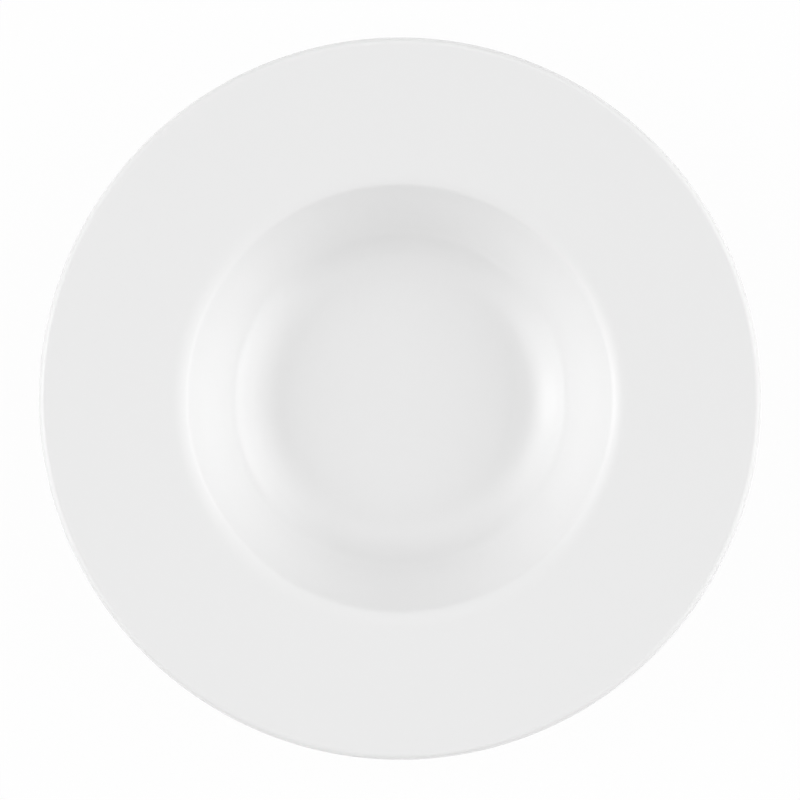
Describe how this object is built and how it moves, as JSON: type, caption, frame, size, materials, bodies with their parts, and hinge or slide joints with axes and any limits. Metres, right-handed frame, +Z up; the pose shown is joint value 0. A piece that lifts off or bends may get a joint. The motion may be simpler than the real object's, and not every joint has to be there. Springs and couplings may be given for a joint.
{
  "type": "rimmed soup plate",
  "caption": "Round white porcelain soup plate with a wide, gently rising rim, a deep steep-walled well, a glazed surface and a bare foot ring.",
  "frame": {"origin": "centre of the plate on the plane that its foot ring stands on", "axes": "+Z up along the plate's axis of revolution, out of the well; +X and +Y are any two level directions, because the plate is round"},
  "size_m": [0.3, 0.3, 0.0467],
  "materials": {
    "bare_porcelain": "matte, unglazed, ground smooth",
    "white_glaze": "gloss white glaze"
  },
  "bodies": {
    "root": {"porcelain_body": "bare_porcelain", "outer_glaze": "white_glaze", "base_glaze": "white_glaze"}
  },
  "joints": []
}
